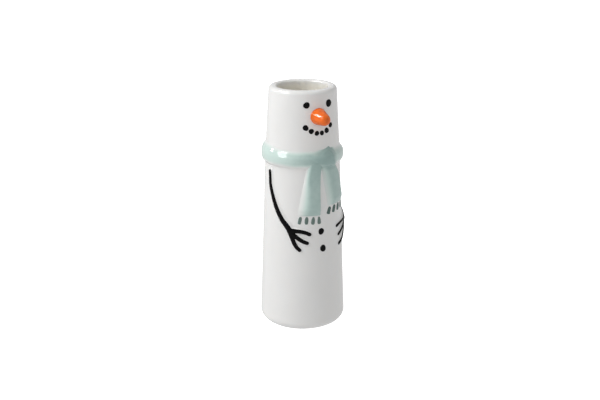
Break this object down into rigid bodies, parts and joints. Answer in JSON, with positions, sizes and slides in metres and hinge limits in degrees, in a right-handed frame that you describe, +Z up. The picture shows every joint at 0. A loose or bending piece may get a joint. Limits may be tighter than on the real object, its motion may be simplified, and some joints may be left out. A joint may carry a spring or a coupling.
{
  "type": "snowman bud vase",
  "caption": "Tall tapering ceramic vase shaped as a snowman, open at the top, with raised scarf, carrot nose, twig arms and coal dots.",
  "frame": {"origin": "middle of the foot ring, on the surface that the vase stands on", "axes": "+Z up along the vase's axis, -Y the way the snowman's face looks, +X the snowman's own left"},
  "size_m": [0.0533, 0.0578, 0.15],
  "materials": {
    "white_glaze": "gloss",
    "mint_glaze": "gloss",
    "green_glaze": "gloss",
    "orange_glaze": "gloss",
    "black_glaze": "gloss"
  },
  "bodies": {
    "root": {"ceramic_body": "white_glaze", "scarf_collar": "mint_glaze", "scarf_tail_right": "mint_glaze", "scarf_tail_left": "mint_glaze", "carrot_nose": "orange_glaze", "right_eye": "black_glaze", "left_eye": "black_glaze", "button_upper": "black_glaze", "button_lower": "black_glaze", "right_arm": "black_glaze", "left_arm": "black_glaze", "scarf_fringe_right_1": "green_glaze", "scarf_fringe_right_2": "green_glaze", "scarf_fringe_right_3": "green_glaze", "scarf_fringe_right_4": "green_glaze", "scarf_fringe_left_1": "green_glaze", "scarf_fringe_left_2": "green_glaze", "scarf_fringe_left_3": "green_glaze", "scarf_fringe_left_4": "green_glaze", "mouth_coal_1": "black_glaze", "mouth_coal_2": "black_glaze", "mouth_coal_3": "black_glaze", "mouth_coal_4": "black_glaze", "mouth_coal_5": "black_glaze", "mouth_coal_6": "black_glaze"}
  },
  "joints": []
}
